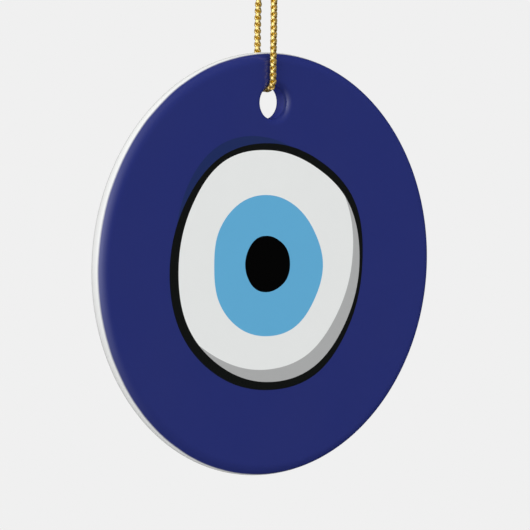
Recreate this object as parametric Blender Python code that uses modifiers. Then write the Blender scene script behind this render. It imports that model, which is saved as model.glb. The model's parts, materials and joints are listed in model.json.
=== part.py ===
"""Round porcelain evil eye ornament on a knotted gold cord.

Frame: +Z up, the printed face looks along -Y, and the origin is where a hook holds the cord,
between its two strands and just under their knot. Sizes are in millimetres; MM makes metres.
"""

import math
from collections import namedtuple

import bmesh
import bpy
from mathutils import Vector

MM = 0.001

# Disc
DISC_R = 36.5
DISC_T = 4.0
EDGE_R = DISC_T / 2     # the edge is fully rounded
HOLE_R = 2.85
HOLE_RIM_R = 1.2        # rounding of the hole's rims
HOLE_UP = 27.9          # hole centre above the disc's centre
COAT_T = 0.15           # printed coat on the front
COAT_WRAP = 63.0        # degrees of the front rounding that the coat covers
GAP = 0.3               # clearance between pieces that touch on the real object

# Cord
CORD_R = 0.6
CORD_CLEAR = 0.1        # between the cord and the glaze that it lies on
HANG_ABOVE_DISC = 62.0  # hook above the disc's top edge
KNOT_Z = 2.3
KNOT_HALF = (2.0, 2.15, 2.35)
TWIST_Z = -30.0         # where the strands' upper and lower stretches meet
BEND_TOP_Z = -53.0      # top of the stretch that bends when the disc nods
BEND_ABOVE_DISC = 2.0   # foot of that stretch, which the disc's edge does not reach as it swings

# Heights that follow from these
DISC_Z = -(HANG_ABOVE_DISC + DISC_R)
NOD_Z = DISC_Z + DISC_R + BEND_ABOVE_DISC
HOLE_Z = DISC_Z + HOLE_UP
CORD_Y = DISC_T / 2 + CORD_CLEAR + CORD_R
BIGHT_Z = HOLE_Z + HOLE_R - CORD_R - 0.2     # the cord crosses the hole a little left of its top

# Fineness
TURN_STEPS = 72
HOLE_STEPS = 32
ARC_STEP = 22.5         # degrees between points of a rounded edge
OUTLINE_STEP = 6        # degrees between points of a painted outline
STRAND_STEP = 2.7
BEND_STEP = 1.6
BIGHT_STEP = 0.9
TAIL_STEP = 1.7

# Painted eye: radii at twelve spokes 30 degrees apart, counter-clockwise from +X
EYE_CENTRE = (-0.9, -0.2)
PUPIL_CENTRE = (-1.1, 0.2)
LINE_OUTER = (21.2, 22.1, 21.2, 21.1, 21.6, 21.2, 21.3, 21.7, 21.4, 21.4, 22.0, 21.3)
LINE_INNER = (20.5, 20.8, 19.8, 19.9, 20.6, 19.7, 19.4, 19.9, 19.7, 20.0, 20.6, 20.3)
IRIS = (12.2, 11.7, 11.8, 12.2, 12.6, 12.5, 11.8, 12.2, 12.2, 12.1, 12.3, 12.0)
PUPIL = (5.0, 4.9, 4.7, 4.8, 5.0, 4.9, 4.9, 4.9, 5.0, 4.9, 4.9, 5.1)

Crescent = namedtuple("Crescent", "start end depth power")
DARK_SHADE = Crescent(78, 160, 1.9, 1.0)    # lies outside the black line
GREY_SHADE = Crescent(222, 395, 2.65, 0.8)  # lies inside the black line

# Route of the cord: from the knot down the front, through the hole, up the back to the knot
FRONT_ROUTE = [
    (0.00, -0.80, -0.3), (-0.04, -0.86, -3.5), (-0.16, -1.02, -9.0), (-0.20, -1.14, -14.5),
    (-0.42, -1.38, -21.0), (-0.50, -1.52, -27.0), (-0.70, -1.78, -33.5), (-0.80, -1.96, -40.0),
    (-0.98, -2.20, -46.5), (-1.08, -2.42, -52.0), (-1.18, -2.64, -57.5), (-1.22, -2.70, -61.5),
    (-1.21, -CORD_Y, -64.0), (-1.20, -CORD_Y, -65.6),
]
BIGHT_ROUTE = [
    (-1.15, -2.64, -67.1), (-1.06, -2.10, -68.08), (-0.92, -1.10, -68.6),
    (-0.72, 0.00, BIGHT_Z),
    (-0.54, 1.10, -68.48), (-0.40, 2.10, -67.98), (-0.33, 2.60, -67.1),
]
BACK_ROUTE = [
    (-0.30, CORD_Y, -65.6), (-0.33, CORD_Y, -64.0), (-0.39, 2.70, -61.5), (-0.51, 2.62, -57.5),
    (-0.54, 2.42, -52.0), (-0.46, 2.16, -46.5), (-0.44, 1.94, -40.0), (-0.28, 1.74, -33.5),
    (-0.28, 1.54, -27.0), (-0.14, 1.36, -21.0), (-0.16, 1.16, -14.5), (-0.02, 1.00, -9.0),
    (-0.04, 0.86, -3.5), (0.00, 0.80, -0.3),
]
TAIL_ROUTE = [
    (0.45, 0.60, 5.0), (0.85, 1.00, 6.3), (1.70, 1.75, 7.4), (2.80, 2.60, 7.6),
    (3.70, 3.20, 6.5), (4.05, 3.60, 4.6), (4.10, 3.80, 2.4), (4.00, 3.90, 0.4),
]

Pivot = namedtuple("Pivot", "empty z")


# Helpers --------------------------------------------------------------------------------------

def new_collection(name):
    collection = bpy.data.collections.new(name)
    bpy.context.scene.collection.children.link(collection)
    return collection


def pivot(name, z, parent=None):
    """Empty on a joint axis at height z, under the pivot that carries it."""
    empty = bpy.data.objects.new(name, None)
    empty.empty_display_size = 5 * MM
    empty.location = (0, 0, (z - (parent.z if parent else 0)) * MM)
    empty.parent = parent.empty if parent else None
    parts.objects.link(empty)
    return Pivot(empty, z)


def finish(name, red, green, blue, roughness, metallic=0.0):
    """Material from an 8-bit colour."""
    mat = bpy.data.materials.new(name)
    mat.use_nodes = True
    shader = mat.node_tree.nodes["Principled BSDF"]
    linear = [((c / 255 + 0.055) / 1.055) ** 2.4 if c > 10 else c / 255 / 12.92
              for c in (red, green, blue)]
    shader.inputs["Base Color"].default_value = (*linear, 1.0)
    shader.inputs["Roughness"].default_value = roughness
    shader.inputs["Metallic"].default_value = metallic
    return mat


def place(obj, carrier, mat, y=0.0, z=None, facing_front=False):
    """Gives obj its material and its place under the pivot that carries it."""
    obj.data.materials.append(mat)
    obj.parent = carrier.empty
    obj.location = (0, y * MM, ((carrier.z if z is None else z) - carrier.z) * MM)
    if facing_front:
        obj.rotation_euler = (math.pi / 2, 0, 0)
    parts.objects.link(obj)
    return obj


def place_cutter(obj, y, z):
    """Hides a cutter and turns it to face the front, like the disc."""
    obj.location = (0, y * MM, z * MM)
    obj.rotation_euler = (math.pi / 2, 0, 0)
    obj.hide_render = True
    obj.display_type = "WIRE"
    cutters.objects.link(obj)
    return obj


def cut(obj, cutter):
    boolean = obj.modifiers.new("Cut by " + cutter.name, "BOOLEAN")
    boolean.operation = "DIFFERENCE"
    boolean.solver = "EXACT"
    boolean.object = cutter


def evaluated_mesh(obj):
    bpy.context.view_layer.update()
    return bpy.data.meshes.new_from_object(obj.evaluated_get(bpy.context.evaluated_depsgraph_get()))


def shade_round(obj, sharp_angle=35):
    """Applies the modifiers and shades the piece smooth between its sharp edges."""
    mesh = evaluated_mesh(obj)
    obj.modifiers.clear()
    obj.data = mesh
    mesh.shade_smooth()
    mesh.set_sharp_from_angle(angle=math.radians(sharp_angle))


def arc(centre, radius, start, end):
    """Points of an arc in the (radius, height) plane; angles in degrees."""
    count = max(2, round(abs(end - start) / ARC_STEP))
    angles = [math.radians(start + (end - start) * i / count) for i in range(count + 1)]
    return [(centre[0] + radius * math.cos(a), centre[1] + radius * math.sin(a)) for a in angles]


def turned(name, profile, steps, closed=False):
    """Turns a (radius, height) profile about local Z. It runs down its outer side."""
    edges = [(i, i + 1) for i in range(len(profile) - 1)]
    if closed:
        edges.append((len(profile) - 1, 0))
    mesh = bpy.data.meshes.new(name)
    mesh.from_pydata([(r * MM, 0, h * MM) for r, h in profile], edges, [])
    obj = bpy.data.objects.new(name, mesh)
    screw = obj.modifiers.new("Turn", "SCREW")
    screw.steps = steps
    screw.render_steps = steps
    screw.use_merge_vertices = True
    screw.merge_threshold = 1e-6
    return obj


def flat_shape(name, outlines, thickness):
    """Filled 2D curve through closed outlines, as thick as asked about its plane."""
    curve = bpy.data.curves.new(name, "CURVE")
    curve.dimensions = "2D"
    curve.fill_mode = "BOTH"
    curve.extrude = thickness / 2 * MM
    for points in outlines:
        spline = curve.splines.new("POLY")
        spline.points.add(len(points) - 1)
        spline.use_cyclic_u = True
        for point, (x, y) in zip(spline.points, points):
            point.co = (x * MM, y * MM, 0, 1)
    return bpy.data.objects.new(name, curve)


def flat_cutter(name, outlines, thickness, y, z):
    """Mesh cutter in the shape of closed outlines."""
    curve_object = flat_shape(name + "_curve", outlines, thickness)
    cutters.objects.link(curve_object)
    mesh = evaluated_mesh(curve_object)
    bpy.data.objects.remove(curve_object, do_unlink=True)
    welded = bmesh.new()
    welded.from_mesh(mesh)
    bmesh.ops.remove_doubles(welded, verts=welded.verts, dist=1e-7)
    bmesh.ops.recalc_face_normals(welded, faces=welded.faces)
    welded.to_mesh(mesh)
    welded.free()
    return place_cutter(bpy.data.objects.new(name, mesh), y, z)


# Painted outlines -----------------------------------------------------------------------------

def spoke_radius(radii, degrees):
    """Radius at an angle, on a smooth closed curve through evenly spaced spokes."""
    place_in_list = (degrees % 360) / 360 * len(radii)
    i = int(place_in_list)
    t = place_in_list - i
    a, b, c, d = (radii[(i + k) % len(radii)] for k in (-1, 0, 1, 2))
    return b + 0.5 * t * (c - a + t * (2 * a - 5 * b + 4 * c - d + t * (3 * (b - c) + d - a)))


def depth(crescent, degrees):
    """Depth of a crescent at an angle: it swells from nothing and dies away again."""
    turn = (degrees - crescent.start) % 360
    width = crescent.end - crescent.start
    if turn >= width:
        return 0.0
    return crescent.depth * math.sin(math.pi * turn / width) ** crescent.power


def line_outer(degrees):
    return spoke_radius(LINE_OUTER, degrees)


def line_inner(degrees):
    return spoke_radius(LINE_INNER, degrees)


def around(centre, radius_at, angles=range(0, 360, OUTLINE_STEP)):
    """Points about a centre, each as far from it as radius_at says for its angle."""
    return [
        (centre[0] + radius_at(a) * math.cos(math.radians(a)),
         centre[1] + radius_at(a) * math.sin(math.radians(a)))
        for a in angles
    ]


def crescent_outline(crescent, outer_at, inner_at):
    """Closed outline of the part of a crescent that is deeper than the clearance."""
    angles = [a for a in range(crescent.start, crescent.end, OUTLINE_STEP)
              if outer_at(a) - inner_at(a) > GAP / 2]
    return (around(EYE_CENTRE, outer_at, angles)
            + around(EYE_CENTRE, inner_at, reversed(angles)))


# Disc and its coat ----------------------------------------------------------------------------

def porcelain_disc():
    """Blank with a rounded edge, set back behind the coat, and a hole with rounded rims."""
    set_back = COAT_T + GAP
    edge = (DISC_R - EDGE_R, 0)
    step = 90 - COAT_WRAP - math.degrees(GAP / EDGE_R)
    profile = [(0, EDGE_R - set_back)]
    profile += arc(edge, EDGE_R - set_back, 90, step)
    profile += arc(edge, EDGE_R, step, -90)
    profile += [(0, -EDGE_R)]
    disc = place(turned("porcelain_disc", profile, TURN_STEPS), swing, PORCELAIN,
                 z=DISC_Z, facing_front=True)
    rim_r = HOLE_R + HOLE_RIM_R
    rim_h = EDGE_R - HOLE_RIM_R
    hole = [(0, DISC_T), (rim_r, DISC_T)]
    hole += arc((rim_r, rim_h), HOLE_RIM_R - set_back, 90, 180)
    hole += [(HOLE_R + set_back, -rim_h)]
    hole += arc((rim_r, -rim_h), HOLE_RIM_R, 180, 270)
    hole += [(rim_r, -DISC_T), (0, -DISC_T)]
    cut(disc, place_cutter(turned("hole_cutter", hole, HOLE_STEPS), 0, HOLE_Z))
    shade_round(disc)


def blue_field():
    """Blue coat on the face around the eye, wrapped over most of the front rounding."""
    edge = (DISC_R - EDGE_R, 0)
    inside_eye_r = 15
    coat_end = 90 - COAT_WRAP
    profile = [(inside_eye_r, EDGE_R)]
    profile += arc(edge, EDGE_R, 90, coat_end)
    profile += arc(edge, EDGE_R - COAT_T, coat_end, 90)
    profile += [(inside_eye_r, EDGE_R - COAT_T)]
    field = place(turned("print_blue_field", profile, TURN_STEPS, closed=True), swing, BLUE,
                  z=DISC_Z, facing_front=True)
    eye = around(EYE_CENTRE, lambda a: line_outer(a) + depth(DARK_SHADE, a) + GAP / 2)
    cut(field, flat_cutter("eye_cutter", [eye], DISC_T, -DISC_T / 2, DISC_Z))
    hole_r = HOLE_R + HOLE_RIM_R + GAP
    hole = [(0, DISC_T), (hole_r, DISC_T), (hole_r, 0), (0, 0)]
    cut(field, place_cutter(turned("coat_hole_cutter", hole, HOLE_STEPS), 0, HOLE_Z))
    shade_round(field)


def bore_lining():
    """Blue coat that runs over the hole's front rim and through the hole."""
    rim = (HOLE_R + HOLE_RIM_R, EDGE_R - HOLE_RIM_R)
    back_h = GAP - rim[1]
    profile = arc(rim, HOLE_RIM_R - COAT_T, 90, 180)
    profile += [(HOLE_R + COAT_T, back_h), (HOLE_R, back_h)]
    profile += arc(rim, HOLE_RIM_R, 180, 90)
    lining = turned("print_bore_lining", profile, HOLE_STEPS, closed=True)
    shade_round(place(lining, swing, BLUE, facing_front=True))


def eye_areas():
    """The eye's dye areas, each a thin flat shape that stops short of its neighbours."""
    half = GAP / 2

    def black_out(a):
        return line_outer(a) - half

    def black_in(a):
        return line_inner(a) + half

    def white_out(a):
        return line_inner(a) - depth(GREY_SHADE, a) - half

    def iris_out(a):
        return spoke_radius(IRIS, a)

    def pupil_out(a):
        return spoke_radius(PUPIL, a)

    dark = crescent_outline(DARK_SHADE, lambda a: line_outer(a) + depth(DARK_SHADE, a) - half,
                            lambda a: line_outer(a) + half)
    grey = crescent_outline(GREY_SHADE, lambda a: line_inner(a) - half,
                            lambda a: line_inner(a) - depth(GREY_SHADE, a) + half)
    areas = [
        ("print_dark_shade", DARK_BLUE, [dark]),
        ("print_black_line", BLACK, [around(EYE_CENTRE, black_out), around(EYE_CENTRE, black_in)]),
        ("print_grey_shade", GREY, [grey]),
        ("print_white_ring", WHITE, [around(EYE_CENTRE, white_out),
                                     around(EYE_CENTRE, lambda a: iris_out(a) + half)]),
        ("print_iris", LIGHT_BLUE, [around(EYE_CENTRE, lambda a: iris_out(a) - half),
                                    around(PUPIL_CENTRE, lambda a: pupil_out(a) + half)]),
        ("print_pupil", PUPIL_BLACK, [around(PUPIL_CENTRE, lambda a: pupil_out(a) - half)]),
    ]
    for name, mat, outlines in areas:
        place(flat_shape(name, outlines, COAT_T), swing, mat,
              y=COAT_T / 2 - EDGE_R, z=DISC_Z, facing_front=True)


# Cord -----------------------------------------------------------------------------------------

def smooth_path(route, pieces=24):
    """Fine points along a smooth curve through the route's points."""
    points = [Vector(p) for p in route]
    points = [2 * points[0] - points[1], *points, 2 * points[-1] - points[-2]]
    path = []
    for a, b, c, d in zip(points, points[1:], points[2:], points[3:]):
        t0, t1 = 0.0, (b - a).length ** 0.5
        t2 = t1 + (c - b).length ** 0.5
        t3 = t2 + (d - c).length ** 0.5
        for i in range(pieces):
            t = t1 + (t2 - t1) * i / pieces
            ab = a.lerp(b, (t - t0) / (t1 - t0))
            bc = b.lerp(c, (t - t1) / (t2 - t1))
            cd = c.lerp(d, (t - t2) / (t3 - t2))
            abc = ab.lerp(bc, (t - t0) / (t2 - t0))
            bcd = bc.lerp(cd, (t - t1) / (t3 - t1))
            path.append(abc.lerp(bcd, (t - t1) / (t2 - t1)))
    return path + [points[-2]]


def clipped(path, top, bottom):
    """The stretch of a path between two heights, cut exactly there."""
    points = []
    for a, b in zip(path, path[1:]):
        low, high = sorted((a, b), key=lambda p: p.z)
        if high.z <= bottom or low.z >= top:
            continue
        ends = []
        for p in (a, b):
            height = min(max(p.z, bottom), top)
            share = (height - a.z) / (b.z - a.z) if b.z != a.z else 0.0
            ends.append(p if height == p.z else a.lerp(b, share))
        points += ends if not points else ends[1:]
    return points


def spaced(path, step):
    """The path's points again, about a step apart."""
    along = [0.0]
    for a, b in zip(path, path[1:]):
        along.append(along[-1] + (b - a).length)
    count = max(2, round(along[-1] / step))
    points, i = [], 0
    for k in range(count + 1):
        goal = along[-1] * k / count
        while i < len(path) - 2 and along[i + 1] < goal:
            i += 1
        points.append(path[i].lerp(path[i + 1], (goal - along[i]) / (along[i + 1] - along[i])))
    return points


def tube(name, path, step, carrier):
    """Plain round cord along a path, with filled ends."""
    points = spaced(path, step)
    curve = bpy.data.curves.new(name, "CURVE")
    curve.dimensions = "3D"
    curve.bevel_depth = CORD_R * MM
    curve.bevel_resolution = 2
    curve.use_fill_caps = True
    spline = curve.splines.new("POLY")
    spline.points.add(len(points) - 1)
    for point, (x, y, z) in zip(spline.points, points):
        point.co = (x * MM, y * MM, (z - carrier.z) * MM, 1)
    place(bpy.data.objects.new(name, curve), carrier, GOLD)


def cord():
    """The cord's stretches, split where it twists, bends and enters the knot."""
    path = smooth_path(FRONT_ROUTE + BIGHT_ROUTE + BACK_ROUTE)
    lowest = min(range(len(path)), key=lambda i: path[i].z)
    half = GAP / 2
    for side, strand in (("front", path[:lowest]), ("back", path[lowest:])):
        upper = clipped(strand, 0, TWIST_Z + half)
        lower = clipped(strand, TWIST_Z - half, BEND_TOP_Z + half)
        bend = clipped(strand, BEND_TOP_Z - half, NOD_Z + half)
        tube(f"cord_{side}_upper", upper, STRAND_STEP, hang)
        tube(f"cord_{side}_lower", lower, STRAND_STEP, twist)
        tube(f"cord_{side}_bend", bend, BEND_STEP, twist)
    tube("cord_bight", clipped(path, NOD_Z - half, BIGHT_Z - DISC_T), BIGHT_STEP, nod)


def knot():
    """Overall shape of the overhand knot, and the two tails that droop from it."""
    ball = bmesh.new()
    bmesh.ops.create_uvsphere(ball, u_segments=16, v_segments=10, radius=MM)
    bmesh.ops.scale(ball, vec=KNOT_HALF, verts=ball.verts)
    mesh = bpy.data.meshes.new("cord_knot")
    ball.to_mesh(mesh)
    ball.free()
    mesh.shade_smooth()
    place(bpy.data.objects.new("cord_knot", mesh), hang, GOLD, z=KNOT_Z)
    for name, turn in (("cord_tail_back", 1), ("cord_tail_front", -1)):
        route = [(turn * x, turn * y, z) for x, y, z in TAIL_ROUTE]
        tube(name, smooth_path(route), TAIL_STEP, hang)


# Build ----------------------------------------------------------------------------------------

for old in list(bpy.data.objects):
    bpy.data.objects.remove(old, do_unlink=True)
parts = new_collection("evil_eye_ornament")
cutters = new_collection("cutters")

PORCELAIN = finish("white_glazed_porcelain", 236, 237, 236, 0.12)
BLUE = finish("blue_coat", 38, 46, 109, 0.12)
DARK_BLUE = finish("dark_blue_coat", 29, 43, 92, 0.12)
BLACK = finish("black_line_coat", 17, 19, 18, 0.12)
WHITE = finish("white_coat", 226, 228, 227, 0.12)
GREY = finish("grey_coat", 168, 169, 169, 0.12)
LIGHT_BLUE = finish("light_blue_coat", 92, 167, 208, 0.12)
PUPIL_BLACK = finish("pupil_black_coat", 2, 2, 2, 0.12)
GOLD = finish("gold_braided_cord", 196, 158, 62, 0.35, 0.9)

hang = pivot("hang_point", 0)
twist = pivot("cord_twist", TWIST_Z, hang)
nod = pivot("disc_nod", NOD_Z, twist)
swing = pivot("disc_swing", HOLE_Z, nod)

porcelain_disc()
blue_field()
bore_lining()
eye_areas()
cord()
knot()
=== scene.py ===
"""Evil eye ornament: a glazed porcelain disc with a printed eye, hung on a braided gold cord."""

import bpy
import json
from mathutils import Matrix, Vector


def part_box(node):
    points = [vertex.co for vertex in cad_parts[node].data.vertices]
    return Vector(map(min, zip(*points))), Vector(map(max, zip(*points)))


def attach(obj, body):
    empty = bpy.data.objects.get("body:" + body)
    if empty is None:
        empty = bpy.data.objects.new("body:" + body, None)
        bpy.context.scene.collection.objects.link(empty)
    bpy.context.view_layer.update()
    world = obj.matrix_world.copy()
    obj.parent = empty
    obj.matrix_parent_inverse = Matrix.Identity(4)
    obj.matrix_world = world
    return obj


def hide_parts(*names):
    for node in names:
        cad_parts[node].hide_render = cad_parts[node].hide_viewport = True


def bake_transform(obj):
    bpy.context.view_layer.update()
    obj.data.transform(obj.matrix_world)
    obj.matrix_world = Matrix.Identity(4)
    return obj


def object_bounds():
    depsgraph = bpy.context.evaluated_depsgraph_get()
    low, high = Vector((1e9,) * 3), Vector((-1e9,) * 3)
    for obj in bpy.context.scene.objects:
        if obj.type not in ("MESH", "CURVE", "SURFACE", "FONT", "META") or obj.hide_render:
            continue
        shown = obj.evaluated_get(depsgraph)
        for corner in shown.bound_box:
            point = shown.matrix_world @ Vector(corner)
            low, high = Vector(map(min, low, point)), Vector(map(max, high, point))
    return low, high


bl_info = {
    "name": "Evil Eye Ornament",
    "version": (1, 0, 0),
    "blender": (4, 5, 0),
    "location": "View3D > Sidebar > Ornament",
    "description": "Builds a round porcelain evil eye ornament on a knotted gold cord",
    "category": "Add Mesh",
}

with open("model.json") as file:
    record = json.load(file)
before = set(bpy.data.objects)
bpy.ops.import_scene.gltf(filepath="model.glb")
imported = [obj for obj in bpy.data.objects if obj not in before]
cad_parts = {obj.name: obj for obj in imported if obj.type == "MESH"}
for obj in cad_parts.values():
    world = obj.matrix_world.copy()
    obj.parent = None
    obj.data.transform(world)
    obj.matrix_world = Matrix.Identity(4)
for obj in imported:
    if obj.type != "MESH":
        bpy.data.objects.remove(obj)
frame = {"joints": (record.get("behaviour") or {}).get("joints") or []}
CAD_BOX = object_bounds()

import json
import math

import bmesh
import bpy
import numpy as np
from bpy.props import FloatProperty, FloatVectorProperty, IntProperty, PointerProperty
from mathutils import Matrix, Vector
from mathutils.kdtree import KDTree

MM = 0.001
FRONT = Vector((0, -1, 0))

JOINTS = {joint["name"]: joint for joint in frame["joints"]}
HOLE_CENTRE = Vector(JOINTS["disc_swing"]["pos_m"])
NOD_CENTRE = Vector(JOINTS["disc_nod"]["pos_m"])
DISC_LOW, DISC_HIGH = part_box("porcelain_disc")
DISC_CENTRE = Vector(((DISC_LOW.x + DISC_HIGH.x) / 2, 0, (DISC_LOW.z + DISC_HIGH.z) / 2))

# Painted eye in millimetres from the disc's centre: radii at twelve spokes, counter-clockwise from +X
LINE_OUTER = (21.2, 22.1, 21.2, 21.1, 21.6, 21.2, 21.3, 21.7, 21.4, 21.4, 22.0, 21.3)
LINE_INNER = (20.5, 20.8, 19.8, 19.9, 20.6, 19.7, 19.4, 19.9, 19.7, 20.0, 20.6, 20.3)
IRIS = (12.2, 11.7, 11.8, 12.2, 12.6, 12.5, 11.8, 12.2, 12.2, 12.1, 12.3, 12.0)
PUPIL = (5.0, 4.9, 4.7, 4.8, 5.0, 4.9, 4.9, 4.9, 5.0, 4.9, 4.9, 5.1)
DARK_SHADE = {"start": 78, "end": 160, "depth": 1.9, "power": 1.0}
GREY_SHADE = {"start": 222, "end": 395, "depth": 2.65, "power": 0.8}

# Route of the cord in millimetres: down the front, through the hole and up the back
FRONT_ROUTE = [
    (0.00, -0.80, -0.3), (-0.04, -0.86, -3.5), (-0.16, -1.02, -9.0), (-0.20, -1.14, -14.5),
    (-0.42, -1.38, -21.0), (-0.50, -1.52, -27.0), (-0.70, -1.78, -33.5), (-0.80, -1.96, -40.0),
    (-0.98, -2.20, -46.5), (-1.08, -2.42, -52.0), (-1.18, -2.64, -57.5), (-1.22, -2.70, -61.5),
    (-1.21, -2.70, -64.0), (-1.20, -2.70, -65.6),
]
BIGHT_ROUTE = [
    (-1.15, -2.64, -67.1), (-1.06, -2.10, -68.08), (-0.92, -1.10, -68.6),
    (-0.72, 0.00, -68.55),
    (-0.54, 1.10, -68.48), (-0.40, 2.10, -67.98), (-0.33, 2.60, -67.1),
]
BACK_ROUTE = [
    (-0.30, 2.70, -65.6), (-0.33, 2.70, -64.0), (-0.39, 2.70, -61.5), (-0.51, 2.62, -57.5),
    (-0.54, 2.42, -52.0), (-0.46, 2.16, -46.5), (-0.44, 1.94, -40.0), (-0.28, 1.74, -33.5),
    (-0.28, 1.54, -27.0), (-0.14, 1.36, -21.0), (-0.16, 1.16, -14.5), (-0.02, 1.00, -9.0),
    (-0.04, 0.86, -3.5), (0.00, 0.80, -0.3),
]
TAIL_ROUTE = [
    (0.45, 0.60, 5.0), (0.85, 1.00, 6.3), (1.70, 1.75, 7.4), (2.80, 2.60, 7.6),
    (3.70, 3.20, 6.5), (4.05, 3.60, 4.6), (4.10, 3.80, 2.4), (4.00, 3.90, 0.4),
]
# Overhand knot tied in both strands: the pair's middle, and how far each strand is from it
KNOT_ROUTE = [
    (-0.05, 0.00, -0.3, 0.80), (-0.30, 0.00, 0.7, 0.62), (-0.60, 0.00, 1.7, 0.56),
    (-0.62, 0.10, 2.7, 0.56), (-0.45, 1.10, 3.5, 0.56), (0.45, 1.65, 3.7, 0.56),
    (1.60, 0.80, 3.5, 0.56), (1.70, -0.70, 3.1, 0.56), (0.60, -1.75, 2.6, 0.56),
    (-0.80, -1.75, 2.0, 0.56), (-1.80, -0.55, 1.4, 0.56), (-1.50, 1.00, 0.9, 0.56),
    (-0.30, 1.65, 0.7, 0.56), (0.50, 1.00, 1.0, 0.56), (0.62, 0.10, 2.0, 0.56),
    (0.58, 0.00, 3.1, 0.56), (0.30, 0.00, 4.2, 0.58), (0.12, 0.00, 5.0, 0.60),
]
KNOT_STEP = 0.25         # spacing of the knot's points, in millimetres
KNOT_CORD = 1.17         # width that a stretch of cord takes up in the pulled knot, in millimetres
STRAND_END_Z = -0.050    # where the strands' pieces meet the bight's, above the stretch that bends

# Braid, in shares of the cord's radius
YARN_R = 0.25            # radius of a yarn
CROSSING = 0.22          # rise and fall of a bundle where it crosses another
BRAID_R = 1.12           # outermost reach of the yarns before they are pressed flat
CORE_R = 0.45            # radius of the core inside the braid
YARN_GAP = 1.7           # spacing of the yarns in a bundle, in radii of a yarn
FRAYED_LENGTH = 1.3 * MM
FRAYED_WIDTH = 0.2 * MM

UNDER_COAT = 0.9         # how deep the porcelain lies under the coat, as a share of its thickness
# In the hole the same depths set where the blue gives way to the lining, which is painted lighter as
# painted light against the bore's shade.
COAT_FADE = (-1.1 * MM, -0.66 * MM)    # depths between which the blue thins out at its end

FLOOR_RADIUS = 0.5
CAMERA_SHIFT = (-0.0004, -0.0015)
FILL_LIGHT = 0.79
GLOW_FROM = (-0.96, -0.17, 0.12)       # where the soft light that the gloss reflects comes from
# Softboxes: azimuth and elevation in degrees, distance, width and height in metres, power in watts
SOFTBOXES = {
    "key_light": (-67, 14, 1.5, 0.9, 1.1, 7.5),
    "top_light": (20, 62, 1.6, 1.2, 1.2, 10),
    "back_light": (180, 20, 1.6, 1.2, 1.2, 5.4),
}


# Settings --------------------------------------------------------------------------------------

def length(name, description, default):
    return FloatProperty(name=name, description=description, default=default, min=0.0,
                         unit="LENGTH", precision=5)


def angle(name, description, degrees):
    return FloatProperty(name=name, description=description, default=math.radians(degrees),
                         subtype="ANGLE")


def colour(name, description, red, green, blue):
    """Colour setting whose default is an 8-bit display colour."""
    linear = [((c / 255 + 0.055) / 1.055) ** 2.4 if c > 10 else c / 255 / 12.92
              for c in (red, green, blue)]
    return FloatVectorProperty(name=name, description=description, default=linear, size=3,
                               min=0.0, max=1.0, subtype="COLOR")


class DiscSettings(bpy.types.PropertyGroup):
    """Sizes and colours of the porcelain disc."""

    diameter: length("Diameter", "Width of the disc", 73 * MM)
    thickness: length("Thickness", "Thickness of the disc, whose edge is fully rounded", 4 * MM)
    hole: length("Hole", "Diameter of the hole for the cord", 5.7 * MM)
    hole_rim: length("Hole rim", "Rounding of the hole's rims", 1.2 * MM)
    coat: length("Coat", "Thickness of the printed coat", 0.05 * MM)
    wrap: angle("Wrap", "How far the blue coat follows the rounded edge", 63)
    porcelain: colour("Porcelain", "White glaze", 228, 229, 228)
    blue: colour("Blue", "Blue coat around the eye", 35, 44, 110)
    # Painted light: the coat deeper in the hole is painted lighter than on the face, standing in for
    # light that the bore's shade takes away.
    painted_light_lining: colour("Lining", "Blue coat through the hole, lighter than on the face", 47, 56, 138)


class EyeSettings(bpy.types.PropertyGroup):
    """Place and colours of the painted eye."""

    centre: FloatVectorProperty(name="Centre", description="Eye's centre from the disc's, across and up",
                                default=(-0.9 * MM, -0.2 * MM), size=2, unit="LENGTH", precision=5)
    pupil_centre: FloatVectorProperty(name="Pupil centre", size=2, unit="LENGTH", precision=5,
                                      description="Pupil's centre from the disc's, across and up",
                                      default=(-1.1 * MM, 0.2 * MM))
    shade: colour("Shade", "Dark blue crescent outside the line", 29, 43, 92)
    line: colour("Line", "Black line round the eye", 17, 19, 18)
    white: colour("White", "White of the eye", 226, 228, 227)
    grey: colour("Grey", "Grey crescent inside the line", 168, 169, 169)
    iris: colour("Iris", "Light blue ring", 92, 167, 208)
    pupil: colour("Pupil", "Middle of the eye", 2, 2, 2)


class CordSettings(bpy.types.PropertyGroup):
    """Make-up and colours of the braided cord."""

    diameter: length("Diameter", "Width of the cord", 1.2 * MM)
    pitch: length("Pitch", "Length of one turn of a braided bundle", 2.3 * MM)
    yarns: IntProperty(name="Yarns", description="Yarns side by side in one bundle", default=2, min=1)
    turn: angle("Turn", "Turns the braid about the cord", -9)
    # Gold and Gold shade are lit and shaded copies of one foil: Gold is a painted highlight on the
    # braid's ridges, Gold shade painted shade in its valleys.
    gold: colour("Gold", "Foil on the ridges of the braid", 248, 222, 146)
    shade: colour("Gold shade", "Foil in the valleys of the braid", 196, 156, 22)


class StudioSettings(bpy.types.PropertyGroup):
    """Camera, light and surroundings."""

    azimuth: angle("Azimuth", "Camera's turn about the disc, to the left of its face", 38.80)
    elevation: angle("Elevation", "Camera's height above the disc's middle", 2.82)
    roll: angle("Roll", "Camera's tilt", 1.04)
    distance: length("Distance", "Camera to the disc's centre", 0.601)
    lens: FloatProperty(name="Lens", description="Focal length in millimetres", default=236.6,
                        unit="CAMERA")
    backdrop: colour("Backdrop", "Plain surroundings", 240, 240, 240)
    floor: colour("Floor", "Matt paint of the floor", 208, 208, 208)
    floor_gap: length("Floor gap", "Height of the hanging disc above the floor", 0.07)


# Shader tools ----------------------------------------------------------------------------------

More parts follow.
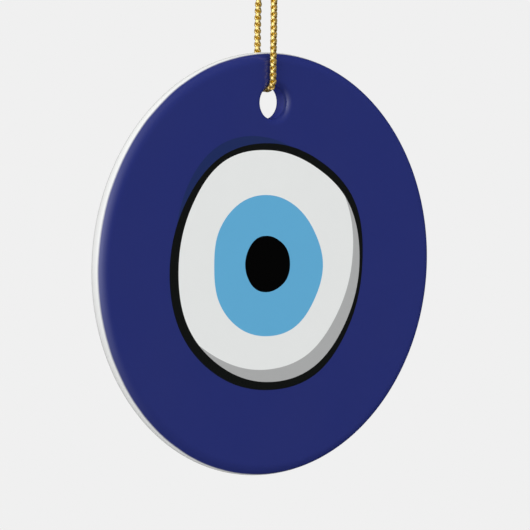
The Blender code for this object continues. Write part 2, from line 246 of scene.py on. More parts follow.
class Number:
    """A number that a shader works out. Arithmetic on it adds Math nodes."""

    def __init__(self, shader, socket):
        self.shader = shader
        self.socket = socket

    def math(self, operation, *values):
        inputs = dict(enumerate(values))
        return self.shader.number("ShaderNodeMath", 0, {"operation": operation}, inputs)

    def __add__(self, other):
        return self.math("ADD", self, other)

    def __sub__(self, other):
        return self.math("SUBTRACT", self, other)

    def __rsub__(self, other):
        return self.math("SUBTRACT", other, self)

    def __mul__(self, other):
        return self.math("MULTIPLY", self, other)

    def __pow__(self, other):
        return self.math("POWER", self, other)

    def clamped(self):
        return self.math("MINIMUM", self.math("MAXIMUM", self, 0.0), 1.0)

    def smooth_step(self, low, high):
        settings = {"interpolation_type": "SMOOTHSTEP"}
        return self.shader.number("ShaderNodeMapRange", 0, settings, {0: self, 1: low, 2: high})

    __radd__ = __add__
    __rmul__ = __mul__


class Shader:
    """Node tree of a material or a world."""

    def __init__(self, owner):
        owner.use_nodes = True
        self.owner = owner
        self.tree = owner.node_tree
        self.tree.nodes.clear()

    def node(self, kind, settings=None, inputs=None):
        """Adds a node: its settings first, then the values or links of its sockets."""
        node = self.tree.nodes.new(kind)
        for key, value in (settings or {}).items():
            setattr(node, key, value)
        for key, value in (inputs or {}).items():
            source = getattr(value, "socket", value)
            if isinstance(source, bpy.types.NodeSocket):
                self.tree.links.new(source, node.inputs[key])
            else:
                node.inputs[key].default_value = source
        return node

    def number(self, kind, output, settings=None, inputs=None):
        return Number(self, self.node(kind, settings, inputs).outputs[output])

    def noise(self, vector, scale, detail=2.0, roughness=0.5):
        inputs = {"Vector": vector, "Scale": scale, "Detail": detail, "Roughness": roughness}
        return self.number("ShaderNodeTexNoise", 0, None, inputs)

    def mixed(self, factor, first, second):
        """Colour between two colours."""
        return self.node("ShaderNodeMix", {"data_type": "RGBA"},
                         {0: factor, 6: first, 7: second}).outputs[2]

    def bump(self, height, strength, distance):
        return self.node("ShaderNodeBump", None, {"Height": height, "Strength": strength,
                                                  "Distance": distance}).outputs[0]

    def finish(self, **inputs):
        """Principled surface; the names of its inputs are written with underscores."""
        values = {key.replace("_", " "): value for key, value in inputs.items()}
        surface = self.node("ShaderNodeBsdfPrincipled", None, values)
        self.node("ShaderNodeOutputMaterial", None, {"Surface": surface.outputs[0]})
        return self.owner


def opaque(rgb, factor=1.0):
    return (*(min(1.0, c * factor) for c in rgb), 1.0)


# Materials -------------------------------------------------------------------------------------

def glaze(name, rgb, mottle=0.03, beyond=None):
    """Fired gloss coat: faint clouding of the dye, an uneven gloss and a soft orange-peel surface.

    A colour beyond takes over gradually towards the back, along a ragged line.
    """
    shader = Shader(bpy.data.materials.new(name))
    place = shader.node("ShaderNodeTexCoord").outputs["Object"]
    cloud = shader.noise(place, 170.0, 4.0)
    grain = shader.noise(place, 2600.0, 2.0)
    tone = (cloud * 0.7 + grain * 0.3).clamped()
    base = shader.mixed(tone, opaque(rgb, 1 - mottle), opaque(rgb, 1 + mottle))
    if beyond:
        across = shader.number("ShaderNodeSeparateXYZ", 1, None, {0: place})
        ragged = across + (cloud - 0.5) * 0.2 * MM
        base = shader.mixed(ragged.smooth_step(*COAT_FADE), base, opaque(beyond))
    smudge = shader.noise(place, 55.0, 3.0, 0.6)
    peel = shader.noise(place, 620.0, 1.0)
    swell = shader.noise(place, 90.0, 1.0)
    return shader.finish(
        Base_Color=base,
        Roughness=0.16 + 0.12 * smudge,
        Normal=shader.bump(peel * 0.4 + swell, 0.35, 0.02 * MM),
        IOR=1.5,
    )


def gold_foil(name, highlit_gold, shaded_gold):
    """Metal foil yarn, wound with bands, with painted light: a painted highlight colour on the braid's
    ridges and painted shade, a deeper gold, in its valleys.
    """
    shader = Shader(bpy.data.materials.new(name))
    place = shader.node("ShaderNodeTexCoord").outputs["Object"]
    relief = shader.number("ShaderNodeAttribute", 2, {"attribute_name": "relief"})
    glint = shader.noise(place, 2400.0, 2.0, 0.6)
    patch = shader.noise(place, 420.0, 1.0)
    # Painted light: the ridges get the highlight colour and the valleys the shade colour, and the glint
    # noise lifts random specks towards the highlight colour as painted glints.
    ridge = relief.smooth_step(0.62, 1.0)
    share = (ridge * 0.85 + (glint - 0.5) * 0.7 + (patch - 0.5) * 0.4).clamped()
    base = shader.mixed(share, opaque(shaded_gold), opaque(highlit_gold))
    winding = shader.number("ShaderNodeTexWave", 1, {"bands_direction": "DIAGONAL"},
                            {"Vector": place, "Scale": 2600.0, "Distortion": 3.0})
    return shader.finish(
        Base_Color=base,
        Metallic=0.75,
        Roughness=0.46 - 0.2 * share,
        Normal=shader.bump(winding * 0.4 + glint, 0.5, 0.03 * MM),
    )


def floor_paint(name, rgb, radius):
    """Pale matt paint that fades into the surroundings away from the object."""
    shader = Shader(bpy.data.materials.new(name))
    place = shader.node("ShaderNodeTexCoord").outputs["Object"]
    far = shader.number("ShaderNodeVectorMath", 1, {"operation": "LENGTH"}, {0: place})
    fade = far.smooth_step(0.25 * radius, 0.85 * radius)
    grain = shader.noise(place, 300.0, 3.0)
    base = shader.mixed(grain, opaque(rgb, 0.99), opaque(rgb, 1.01))
    paint = shader.node("ShaderNodeBsdfDiffuse", None, {"Color": base, "Roughness": 0.6})
    clear = shader.node("ShaderNodeBsdfTransparent")
    mix = shader.node("ShaderNodeMixShader", None,
                      {0: fade, 1: paint.outputs[0], 2: clear.outputs[0]})
    shader.node("ShaderNodeOutputMaterial", None, {"Surface": mix.outputs[0]})
    return shader.owner


# Modelling tools -------------------------------------------------------------------------------

def add_object(name, data, material=None):
    obj = bpy.data.objects.new(name, data)
    bpy.context.scene.collection.objects.link(obj)
    if material:
        data.materials.append(material)
    return obj


def face_front(bm):
    """Makes the faces point one way, with most of their area towards the front."""
    bmesh.ops.recalc_face_normals(bm, faces=bm.faces)
    if sum(face.calc_area() * face.normal.dot(FRONT) for face in bm.faces) < 0:
        bmesh.ops.reverse_faces(bm, faces=bm.faces)


def mesh_piece(name, bm, material, sharp_angle=35):
    """Object from a bmesh, shaded smooth between its sharp edges and its open borders."""
    borders = [i for i, edge in enumerate(bm.edges) if edge.is_boundary]
    mesh = bpy.data.meshes.new(name)
    bm.to_mesh(mesh)
    bm.free()
    mesh.shade_smooth()
    mesh.set_sharp_from_angle(angle=math.radians(sharp_angle))
    for border in borders:
        mesh.edges[border].use_edge_sharp = True
    return add_object(name, mesh, material)


def arc(centre, radius, start, end, step=5):
    """Points of an arc in a (radius, depth) section; angles in degrees, -90 faces the front."""
    count = max(1, round(abs(end - start) / step))
    angles = [math.radians(start + (end - start) * i / count) for i in range(count + 1)]
    return [(centre[0] + radius * math.cos(a), centre[1] + radius * math.sin(a)) for a in angles]


def turn(bm, section, centre, steps):
    """Turns an open (radius, depth) section about the line through centre along Y."""
    verts = [bm.verts.new(centre + Vector((r, y, 0))) for r, y in section]
    edges = [bm.edges.new(pair) for pair in zip(verts, verts[1:])]
    bmesh.ops.spin(bm, geom=verts + edges, cent=centre, axis=(0, 1, 0), dvec=(0, 0, 0),
                   angle=2 * math.pi, steps=steps, use_merge=True)


def loop(bm, points):
    """Closed loop of edges through points."""
    verts = [bm.verts.new(p) for p in points]
    return [bm.edges.new(pair) for pair in zip(verts, verts[1:] + verts[:1])]


def open_edges(bm, depth):
    """Edges that border one face and lie flat at a depth."""
    return [e for e in bm.edges
            if e.is_boundary and all(abs(v.co.y - depth) < 1e-7 for v in e.verts)]


def fill(bm, edges):
    bmesh.ops.triangle_fill(bm, edges=edges, use_beauty=True, use_dissolve=False, normal=FRONT)


# Disc ------------------------------------------------------------------------------------------

class DiscShape:
    """Sections of the disc and of its coat, worked out from the settings."""

    OUTER_STEPS = 288
    HOLE_STEPS = 120
    MARGIN = 0.15 * MM      # flat margin beside a rounding, which keeps the flat faces' shading flat
    BACK_WRAP = 40          # degrees of the hole's back rim that the coat covers

    def __init__(self, disc):
        self.half = disc.thickness / 2
        self.edge = (disc.diameter / 2 - self.half, 0.0)
        self.hole_r = disc.hole / 2
        self.rim = disc.hole_rim
        self.rim_r = self.hole_r + self.rim
        self.rim_y = self.half - self.rim
        self.coat = disc.coat
        self.coat_end = -90 + math.degrees(disc.wrap)

    def front_rim(self, radius):
        return arc((self.rim_r, -self.rim_y), radius, -90, -180)

    def back_rim(self, radius, start, end):
        return arc((self.rim_r, self.rim_y), radius, start, end)

    def outer_section(self):
        """Porcelain from the front round the edge to the back, set back under the coat."""
        under = self.half - UNDER_COAT * self.coat
        section = [(self.edge[0] - self.MARGIN, -under)]
        section += arc(self.edge, under, -90, self.coat_end)
        section += arc(self.edge, self.half, self.coat_end, 90)
        return section + [(self.edge[0] - self.MARGIN, self.half)]

    def hole_section(self):
        """Porcelain from the front over the rims and through the hole to the back."""
        under = UNDER_COAT * self.coat
        section = [(self.rim_r + self.MARGIN, under - self.half)]
        section += self.front_rim(self.rim - under)
        section += self.back_rim(self.rim - under, 180, 180 - self.BACK_WRAP)
        section += self.back_rim(self.rim, 180 - self.BACK_WRAP, 90)
        return section + [(self.rim_r + self.MARGIN, self.half)]


def dress(piece, node):
    """Lets a disc piece ride on the disc in place of its plain CAD node."""
    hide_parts(node)
    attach(piece, "disc")


def porcelain_body(disc):
    """Turned blank with a rounded edge and a hole with rounded rims."""
    shape = DiscShape(disc)
    bm = bmesh.new()
    outer, hole = shape.outer_section(), shape.hole_section()
    turn(bm, outer, DISC_CENTRE, shape.OUTER_STEPS)
    turn(bm, hole, HOLE_CENTRE, shape.HOLE_STEPS)
    for depth in (outer[0][1], outer[-1][1]):
        fill(bm, open_edges(bm, depth))
    bmesh.ops.recalc_face_normals(bm, faces=bm.faces)
    material = glaze("white_glaze", disc.blue, 0.012, disc.porcelain)
    dress(mesh_piece("porcelain_body", bm, material), "porcelain_disc")


def coat_piece(name, bm, material, thickness):
    """Printed area with the coat's thickness, laid inwards from its surface."""
    face_front(bm)
    piece = mesh_piece(name, bm, material)
    solid = piece.modifiers.new("Thickness", "SOLIDIFY")
    solid.thickness = thickness
    solid.offset = -1
    return piece


def blue_coat(disc, eye):
    """Blue area around the eye and over most of the front rounding."""
    shape = DiscShape(disc)
    bm = bmesh.new()
    section = [(shape.edge[0] - shape.MARGIN, -shape.half)]
    section += arc(shape.edge, shape.half, -90, shape.coat_end)
    turn(bm, section, DISC_CENTRE, shape.OUTER_STEPS)
    inner = open_edges(bm, -shape.half)
    hole = [HOLE_CENTRE + Vector((shape.rim_r * math.cos(a), -shape.half, shape.rim_r * math.sin(a)))
            for a in (math.tau * i / shape.HOLE_STEPS for i in range(shape.HOLE_STEPS))]
    border = around(eye.centre, lambda a: line_outer(a) + depth(DARK_SHADE, a), shape.half)
    fill(bm, inner + loop(bm, hole) + loop(bm, border))
    material = glaze("blue_glaze", disc.blue, 0.03, disc.porcelain)
    dress(coat_piece("blue_coat", bm, material, shape.coat), "print_blue_field")


def bore_coat(disc):
    """Blue coat over the hole's front rim, through the hole and onto its back rim."""
    shape = DiscShape(disc)
    bm = bmesh.new()
    section = shape.front_rim(shape.rim)
    section += shape.back_rim(shape.rim, 180, 180 - shape.BACK_WRAP)
    turn(bm, section, HOLE_CENTRE, shape.HOLE_STEPS)
    # Painted light: past the fade depths the bore's wall turns to the lighter lining colour, a painted
    # brightening of the shade inside the hole.
    material = glaze("bore_glaze", disc.blue, 0.03, disc.painted_light_lining)
    dress(coat_piece("bore_coat", bm, material, shape.coat), "print_bore_lining")


# Painted eye -----------------------------------------------------------------------------------

def spoke_radius(radii, degrees):
    """Radius at an angle, on a smooth closed curve through evenly spaced spokes."""
    place = (degrees % 360) / 360 * len(radii)
    i = int(place)
    t = place - i
    a, b, c, d = (radii[(i + k) % len(radii)] for k in (-1, 0, 1, 2))
    return b + 0.5 * t * (c - a + t * (2 * a - 5 * b + 4 * c - d + t * (3 * (b - c) + d - a)))


def depth(crescent, degrees):
    """Depth of a crescent at an angle: it swells from nothing and dies away again."""
    turned = (degrees - crescent["start"]) % 360
    width = crescent["end"] - crescent["start"]
    if turned >= width:
        return 0.0
    return crescent["depth"] * math.sin(math.pi * turned / width) ** crescent["power"]


def line_outer(degrees):
    return spoke_radius(LINE_OUTER, degrees)


def line_inner(degrees):
    return spoke_radius(LINE_INNER, degrees)


def around(centre, radius_at, half, angles=range(360)):
    """Points on the disc's face, each as many millimetres from centre as radius_at says."""
    return [
        DISC_CENTRE + Vector((centre[0] + radius_at(a) * MM * math.cos(math.radians(a)), -half,
                              centre[1] + radius_at(a) * MM * math.sin(math.radians(a))))
        for a in angles
    ]


def area(outlines):
    """Flat area between closed outlines."""
    bm = bmesh.new()
    edges = []
    for points in outlines:
        edges += loop(bm, points)
    fill(bm, edges)
    return bm


def crescent_outline(centre, crescent, outer_at, inner_at, half):
    """Outline of a crescent, which comes to a point at both ends."""
    outer_angles = range(crescent["start"], crescent["end"] + 1)
    inner_angles = range(crescent["end"] - 1, crescent["start"], -1)
    return (around(centre, outer_at, half, outer_angles)
            + around(centre, inner_at, half, inner_angles))


def painted_eye(disc, eye):
    """The eye's areas, each a thin coat that meets its neighbours along one shared outline."""
    half = disc.thickness / 2

    def ring(centre, radius_at):
        return around(centre, radius_at, half)

    def white_edge(a):
        return line_inner(a) - depth(GREY_SHADE, a)

    iris_edge = ring(eye.centre, lambda a: spoke_radius(IRIS, a))
    pupil_edge = ring(eye.pupil_centre, lambda a: spoke_radius(PUPIL, a))
    dark = crescent_outline(eye.centre, DARK_SHADE,
                            lambda a: line_outer(a) + depth(DARK_SHADE, a), line_outer, half)
    grey = crescent_outline(eye.centre, GREY_SHADE, line_inner, white_edge, half)
    areas = [
        ("shade_coat", "print_dark_shade", "dark_blue_coat", eye.shade, [dark]),
        ("line_coat", "print_black_line", "black_coat", eye.line,
         [ring(eye.centre, line_outer), ring(eye.centre, line_inner)]),
        ("grey_coat", "print_grey_shade", "grey_coat", eye.grey, [grey]),
        ("white_coat", "print_white_ring", "white_coat", eye.white,
         [ring(eye.centre, white_edge), iris_edge]),
        ("iris_coat", "print_iris", "light_blue_coat", eye.iris, [iris_edge, pupil_edge]),
        ("pupil_coat", "print_pupil", "pupil_coat", eye.pupil, [pupil_edge]),
    ]
    for name, node, slot, rgb, outlines in areas:
        material = glaze(slot + "_glaze", rgb, 0.012)
        dress(coat_piece(name, area(outlines), material, disc.coat), node)


# Cord ------------------------------------------------------------------------------------------

def smooth_path(route, pieces=24):
    """Fine points along a smooth curve through the route's points."""
    points = [Vector(p) for p in route]
    points = [2 * points[0] - points[1], *points, 2 * points[-1] - points[-2]]
    path = []
    for a, b, c, d in zip(points, points[1:], points[2:], points[3:]):
        t0, t1 = 0.0, (b - a).length ** 0.5
        t2 = t1 + (c - b).length ** 0.5
        t3 = t2 + (d - c).length ** 0.5
        for i in range(pieces):
            t = t1 + (t2 - t1) * i / pieces
            ab = a.lerp(b, (t - t0) / (t1 - t0))
            bc = b.lerp(c, (t - t1) / (t2 - t1))
            cd = c.lerp(d, (t - t2) / (t3 - t2))
            abc = ab.lerp(bc, (t - t0) / (t2 - t0))
            bcd = bc.lerp(cd, (t - t1) / (t3 - t1))
            path.append(abc.lerp(bcd, (t - t1) / (t2 - t1)))
    return path + [points[-2]]


def spaced(path, step):
    """The path's points again, evenly spaced about a step apart."""
    points = np.array(path, float)
    along = np.concatenate([[0.0], np.cumsum(np.linalg.norm(np.diff(points, axis=0), axis=1))])
    at = np.linspace(0.0, along[-1], max(2, round(along[-1] / step)) + 1)
    return np.stack([np.interp(at, along, points[:, k]) for k in range(3)], axis=1)


def smooth(t):
    t = min(1.0, max(0.0, t))
    return t * t * (3 - 2 * t)


def length_of(path):
    return float(np.linalg.norm(np.diff(np.array(path, float), axis=0), axis=1).sum())


def settled(lanes, diameter, step, rounds=150):
    """The lanes of a knot pushed apart until they lie against each other, with their ends held."""
    ends = [(lane[0].copy(), lane[-1].copy()) for lane in lanes]
    for _ in range(rounds):
        points = np.vstack(lanes)
        lane_of = np.concatenate([np.full(len(lane), k) for k, lane in enumerate(lanes)])
        place = np.concatenate([np.arange(len(lane)) for lane in lanes])
        apart = points[:, None] - points[None]
        far = np.linalg.norm(apart, axis=2) + 1e-9
        same_stretch = ((lane_of[:, None] == lane_of[None])
                        & (np.abs(place[:, None] - place[None]) * step < 2 * diameter))
        near = (far < diameter) & ~same_stretch
        push = (apart / far[..., None] * ((diameter - far) * near)[..., None]).sum(1)
        points += 0.5 * push / np.maximum(near.sum(1), 1)[:, None]
        starts = np.cumsum([0] + [len(lane) for lane in lanes])
        lanes = [points[a:b] for a, b in zip(starts, starts[1:])]
        for lane, (first, last) in zip(lanes, ends):
            lane[1:-1] += 0.25 * (lane[:-2] + lane[2:] - 2 * lane[1:-1])
            lane[0], lane[-1] = first, last
        lanes = [spaced(lane, step) for lane in lanes]
    return lanes


def knot_lanes():
    """Both strands through the overhand knot, from below to the tails, in millimetres."""
    route = [Vector(p[:3]) for p in KNOT_ROUTE]
    path = smooth_path(route, 12)
    gaps = np.interp(np.linspace(0, 1, len(path)), np.linspace(0, 1, len(KNOT_ROUTE)),
                     [p[3] for p in KNOT_ROUTE])
    front, back = [], []
    for before, here, after, gap in zip([path[0]] + path, path, path[1:] + [path[-1]], gaps):
        outwards = Vector((here.x, here.y, 0)).normalized()
        aside = (after - before).cross(outwards).normalized()
        front.append(here + aside * gap)
        back.append(here - aside * gap)
    return settled([spaced(front, KNOT_STEP), spaced(back, KNOT_STEP)], KNOT_CORD, KNOT_STEP)


class CordLine:
    """The whole cord's centreline, from tail to tail, with the stretches of its pieces."""

    FLATTENED = 0.27 * MM    # how far the cord's middle rises where it lies flattened
    THINNER = 0.35           # how much it loses in height there
    WIDER = 0.15             # how much it gains in width there
    BORNE = (2.7 * MM, 1.2 * MM)    # depths in the hole where this starts, and where it is complete

    def __init__(self, cord):
        to_back, to_front = knot_lanes()
        back_tail = TAIL_ROUTE
        front_tail = [(-x, -y, z) for x, y, z in TAIL_ROUTE]
        stretches = [
            smooth_path([Vector(to_back[-1])] + back_tail)[::-1],
            to_back[::-1],
            smooth_path(FRONT_ROUTE + BIGHT_ROUTE + BACK_ROUTE),
            to_front,
            smooth_path([Vector(to_front[-1])] + front_tail),
        ]
        path = [Vector(p) * MM for stretch in stretches for p in stretch]
        kept = [path[0]] + [b for a, b in zip(path, path[1:]) if (b - a).length > 1e-6]
        rough = spaced(kept, cord.pitch / 20)
        self.points = [Vector(p) for p in rough]
        self.step = length_of(rough) / (len(rough) - 1)
        self.frames = self.carried_frames()
        tail = round(length_of(stretches[0]) * MM / self.step)
        knot = round(length_of(stretches[1]) * MM / self.step)
        last = len(self.points) - 1
        low = min(range(last + 1), key=lambda i: self.points[i].z)

        def strand_end(stretch):
            return min(stretch, key=lambda i: abs(self.points[i].z - STRAND_END_Z))

        front_end = strand_end(range(tail + knot, low))
        back_end = strand_end(range(low, last + 1 - tail - knot))
        self.back_tail = (0, tail)
        self.knot_in = (tail, tail + knot)
        self.front_strand = (tail + knot, front_end)
        self.bight = (front_end, back_end)
        self.back_strand = (back_end, last - tail - knot)
        self.knot_out = (last - tail - knot, last - tail)
        self.front_tail = (last - tail, last)

    def carried_frames(self):
        """Two directions across the cord at each point, which turn as little as they can."""
        points = self.points
        frames = []
        across = Vector((1, 0, 0))
        for before, after in zip([points[0]] + points[:-1], points[1:] + [points[-1]]):
            along = (after - before).normalized()
            across = (across - along * across.dot(along)).normalized()
            frames.append((across.copy(), along.cross(across)))
        return frames

    def borne(self, i):
        """How much the hole's top bears the cord at a point, from 0 to 1."""
        point = self.points[i]
        if point.z > NOD_CENTRE.z:
            return 0.0
        start, full = self.BORNE
        return smooth((start - abs(point.y)) / (start - full))

    def centre(self, i):
        """Middle of the cord, which lies flattened against the hole's top."""
        return self.points[i] + Vector((0, 0, self.FLATTENED * self.borne(i)))

    def on_circle(self, i, radius, turned):
        across, beside = self.frames[i]
        offset = radius * (math.cos(turned) * across + math.sin(turned) * beside)
        offset.z *= 1 - self.THINNER * self.borne(i)
        offset.x *= 1 + self.WIDER * self.borne(i)
        return self.centre(i) + offset

    def path(self, stretch):
        first, last = stretch
        return self.points[first:last + 1]

    def middles(self):
        """Search tree of the cord's middle."""
        tree = KDTree(len(self.points))
        for i in range(len(self.points)):
            tree.insert(self.centre(i), i)
        tree.balance()
        return tree


def braid_splines(cord, line, stretch, frayed_from=None):
    """Points of each yarn along a stretch of the cord: four bundles that cross over and under."""
    first, last = stretch
    radius = cord.diameter / 2
    yarn_r = YARN_R * radius
    lift = CROSSING * radius
    middle = BRAID_R * radius - yarn_r - lift
    splines = []
    for way in (1, -1):
        for bundle in (0, 1):
            for k in range(cord.yarns):
                aside = (k - (cord.yarns - 1) / 2) * YARN_GAP * yarn_r / middle
                points = []
                for i in range(first, last + 1):
                    travelled = math.tau * i * line.step / cord.pitch
                    turned = way * travelled + bundle * math.pi + aside + cord.turn
                    wave = way * math.cos(2 * travelled)
                    loose = fray(i, frayed_from) * (1 + 0.7 * math.sin(7.3 * len(splines)))
                    out = middle + lift * wave + loose
                    points.append(line.on_circle(i, out, turned))
                splines.append((points, yarn_r))
    splines.append((line.path(stretch), CORE_R * radius))
    return splines


def fray(i, frayed_from):
    """How far the yarns have come apart near a cut end, in metres."""
    if frayed_from is None:
        return 0.0
    end, reach = frayed_from
    near = max(0.0, 1 - abs(i - end) / reach)
    return FRAYED_WIDTH * near ** 1.5


def press(verts, middles, radius, frayed_from):
    """Presses the braid's ridges flat at the cord's radius, except where the yarns come apart."""
    for vert in verts:
        middle, i, far = middles.find(vert.co)
        limit = radius + 3 * fray(i, frayed_from)
        if far > limit:
            vert.co = middle + (vert.co - middle) * (limit / far)


def cord_mesh(name, splines, material, middles, radius, frayed_from):
    """One mesh of yarns with closed ends, which knows how far out each point lies."""
    curve = bpy.data.curves.new(name, "CURVE")
    curve.dimensions = "3D"
    curve.bevel_depth = 1.0
    curve.bevel_resolution = 2
    curve.use_fill_caps = True
    for points, yarn_r in splines:
        spline = curve.splines.new("POLY")
        spline.points.add(len(points) - 1)
        for point, place in zip(spline.points, points):
            point.co = (*place, 1)
            point.radius = yarn_r
    source = add_object(name + "_curve", curve)
    bpy.context.view_layer.update()
    evaluated = source.evaluated_get(bpy.context.evaluated_depsgraph_get())
    mesh = bpy.data.meshes.new_from_object(evaluated)
    bpy.data.objects.remove(source)
    bpy.data.curves.remove(curve)
    bm = bmesh.new()
    bm.from_mesh(mesh)
    bmesh.ops.remove_doubles(bm, verts=bm.verts, dist=1e-7)
    bmesh.ops.recalc_face_normals(bm, faces=bm.faces)
    bpy.data.meshes.remove(mesh)
    press(bm.verts, middles, radius, frayed_from)
    made = mesh_piece(name, bm, material, 50)
    relief = made.data.attributes.new("relief", "FLOAT", "POINT")
    far = [middles.find(vert.co)[2] / radius for vert in made.data.vertices]
    relief.data.foreach_set("value", far)
    return made


def hanging_cord(cord):
    """Both strands, the bight through the hole, the overhand knot and its frayed tails."""
    line = CordLine(cord)
    middles = line.middles()
    material = gold_foil("gold_foil", cord.gold, cord.shade)

    def piece(name, stretches, nodes, frayed_from=None):
        splines = [spline for stretch in stretches
                   for spline in braid_splines(cord, line, stretch, frayed_from)]
        made = cord_mesh(name, splines, material, middles, cord.diameter / 2, frayed_from)
        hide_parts(*nodes)
        return made

    front = piece("front_strand", [line.front_strand], ["cord_front_upper", "cord_front_lower"])
    back = piece("back_strand", [line.back_strand], ["cord_back_upper", "cord_back_lower"])
    bight = piece("hole_bight", [line.bight], ["cord_front_bend", "cord_bight", "cord_back_bend"])
    knot = piece("overhand_knot", [line.knot_in, line.knot_out], ["cord_knot"])
    frayed = FRAYED_LENGTH / line.step
    back_tail = piece("back_tail", [line.back_tail], ["cord_tail_back"], (0, frayed))
    front_tail = piece("front_tail", [line.front_tail], ["cord_tail_front"],
                       (line.front_tail[1], frayed))

    for strand in (front, back):
        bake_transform(strand)
    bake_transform(bight)
    for part in (knot, back_tail, front_tail):
        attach(part, "hanger")

    declared = [
        (bight, line.path(line.bight), "object", []),
        (front, line.path(line.front_strand)[::-1], "knot", [knot, back_tail]),
        (back, line.path(line.back_strand), "knot", [front_tail]),
    ]


# Studio ----------------------------------------------------------------------------------------

def direction(azimuth, elevation):
    """Way from the disc, turned anticlockwise from its front as seen from above."""
    level = math.cos(elevation)
    return Vector((math.sin(azimuth) * level, -math.cos(azimuth) * level, math.sin(elevation)))


def camera_axes(studio):
    """The camera's right, up and back directions."""
    back = direction(-studio.azimuth, studio.elevation)
    right = Vector((math.cos(-studio.azimuth), math.sin(-studio.azimuth), 0))
    roll = Matrix.Rotation(studio.roll, 3, back)
    return roll @ right, roll @ back.cross(right), back


def camera(studio):
    data = bpy.data.cameras.new("camera")
    data.lens = studio.lens
    data.sensor_width = 36
    data.shift_x, data.shift_y = CAMERA_SHIFT
    data.clip_start = 0.01
    obj = add_object("camera", data)
    right, up, back = camera_axes(studio)
    turned = Matrix((right, up, back)).transposed().to_4x4()
    obj.matrix_world = Matrix.Translation(DISC_CENTRE + back * studio.distance) @ turned
    bpy.context.scene.camera = obj


def softbox(name, azimuth, elevation, distance, width, height, power):
    """Area light that looks at the disc."""
    data = bpy.data.lights.new(name, "AREA")
    data.shape = "RECTANGLE"
    data.size = width
    data.size_y = height
    data.energy = power
    back = direction(math.radians(azimuth), math.radians(elevation))
    obj = add_object(name, data)
    obj.location = DISC_CENTRE + back * distance
    obj.rotation_euler = back.to_track_quat("Z", "Y").to_euler()
    obj.visible_camera = False
    obj.visible_glossy = False


def studio_world(studio):
    """Even surroundings for the camera, even fill light, and reflections with a dark front."""
    world = bpy.data.worlds.new("studio")
    bpy.context.scene.world = world
    shader = Shader(world)
    ray = shader.node("ShaderNodeLightPath")
    seen = ray.outputs["Is Camera Ray"]
    gloss = Number(shader, ray.outputs["Is Glossy Ray"])
    way = shader.node("ShaderNodeTexCoord").outputs["Generated"]
    dot = {"operation": "DOT_PRODUCT"}
    glow = Vector(GLOW_FROM).normalized()
    facing = shader.number("ShaderNodeVectorMath", 1, dot, {0: way, 1: glow}).clamped()
    ahead = shader.number("ShaderNodeVectorMath", 1, dot, {0: way, 1: FRONT}).smooth_step(-1.4, 0.15)
    mirrored = (facing ** 1.9 * 2.1 + facing ** 12.0 * 1.2) * ahead
    strength = mirrored * gloss + (1 - gloss) * FILL_LIGHT
    light = shader.node("ShaderNodeBackground", None, {"Color": (1, 1, 1, 1), "Strength": strength})
    plain = shader.node("ShaderNodeBackground", None, {"Color": opaque(studio.backdrop)})
    mix = shader.node("ShaderNodeMixShader", None,
                      {0: seen, 1: light.outputs[0], 2: plain.outputs[0]})
    shader.node("ShaderNodeOutputWorld", None, {"Surface": mix.outputs[0]})


def floor(studio):
    bm = bmesh.new()
    bmesh.ops.create_circle(bm, cap_ends=True, segments=96, radius=FLOOR_RADIUS)
    mesh = bpy.data.meshes.new("floor")
    bm.to_mesh(mesh)
    bm.free()
    obj = add_object("floor", mesh, floor_paint("floor_paint", studio.floor, FLOOR_RADIUS))
    obj.location.z = CAD_BOX[0].z - studio.floor_gap
    obj.visible_glossy = False


# Operators -------------------------------------------------------------------------------------

class ORNAMENT_OT_studio(bpy.types.Operator):
    """Add the camera, the lights, the plain surroundings and the floor"""

    bl_idname = "ornament.studio"
    bl_label = "Studio"

    def execute(self, context):
        studio = context.scene.ornament_studio
        context.scene.view_settings.view_transform = "Standard"
        camera(studio)
        studio_world(studio)
        floor(studio)
        for name, values in SOFTBOXES.items():
            softbox(name, *values)
        return {"FINISHED"}


class ORNAMENT_OT_cord(bpy.types.Operator):
    """Add the braided cord with its knot and tails"""

    bl_idname = "ornament.cord"
    bl_label = "Cord"

    def execute(self, context):
        hanging_cord(context.scene.ornament_cord)
        return {"FINISHED"}


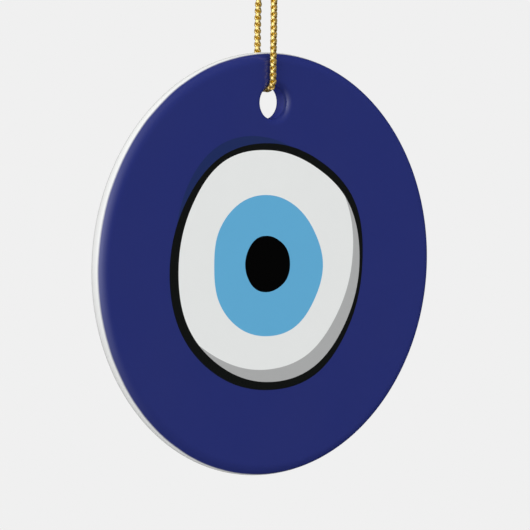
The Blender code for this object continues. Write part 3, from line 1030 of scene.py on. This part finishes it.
class ORNAMENT_OT_body(bpy.types.Operator):
    """Add the porcelain blank"""

    bl_idname = "ornament.body"
    bl_label = "Porcelain Body"

    def execute(self, context):
        porcelain_body(context.scene.ornament_disc)
        return {"FINISHED"}


class ORNAMENT_OT_blue_coat(bpy.types.Operator):
    """Add the blue coat on the face, the edge and the hole"""

    bl_idname = "ornament.blue_coat"
    bl_label = "Blue Coat"

    def execute(self, context):
        disc = context.scene.ornament_disc
        blue_coat(disc, context.scene.ornament_eye)
        bore_coat(disc)
        return {"FINISHED"}


class ORNAMENT_OT_eye(bpy.types.Operator):
    """Add the painted eye"""

    bl_idname = "ornament.eye"
    bl_label = "Painted Eye"

    def execute(self, context):
        painted_eye(context.scene.ornament_disc, context.scene.ornament_eye)
        return {"FINISHED"}


class ORNAMENT_PT_panel(bpy.types.Panel):
    """Lists the ornament's pieces and settings"""

    bl_idname = "ORNAMENT_PT_panel"
    bl_label = "Evil Eye Ornament"
    bl_space_type = "VIEW_3D"
    bl_region_type = "UI"
    bl_category = "Ornament"

    def draw(self, context):
        for operator in OPERATORS:
            self.layout.operator(operator.bl_idname)
        for name in SETTINGS:
            box = self.layout.box()
            group = getattr(context.scene, name)
            for setting in group.__annotations__:
                box.prop(group, setting)


SETTINGS = {
    "ornament_disc": DiscSettings,
    "ornament_eye": EyeSettings,
    "ornament_cord": CordSettings,
    "ornament_studio": StudioSettings,
}
OPERATORS = (
    ORNAMENT_OT_studio,
    ORNAMENT_OT_cord,
    ORNAMENT_OT_body,
    ORNAMENT_OT_blue_coat,
    ORNAMENT_OT_eye,
)


def register():
    for group in (*SETTINGS.values(), *OPERATORS, ORNAMENT_PT_panel):
        bpy.utils.register_class(group)
    for name, group in SETTINGS.items():
        setattr(bpy.types.Scene, name, PointerProperty(type=group))


def unregister():
    for name in SETTINGS:
        delattr(bpy.types.Scene, name)
    for group in (ORNAMENT_PT_panel, *reversed(OPERATORS), *reversed(SETTINGS.values())):
        bpy.utils.unregister_class(group)


def main():
    register()
    bpy.ops.ornament.studio()
    bpy.ops.ornament.cord()
    bpy.ops.ornament.body()
    bpy.ops.ornament.blue_coat()
    bpy.ops.ornament.eye()


if __name__ == "__main__":
    main()
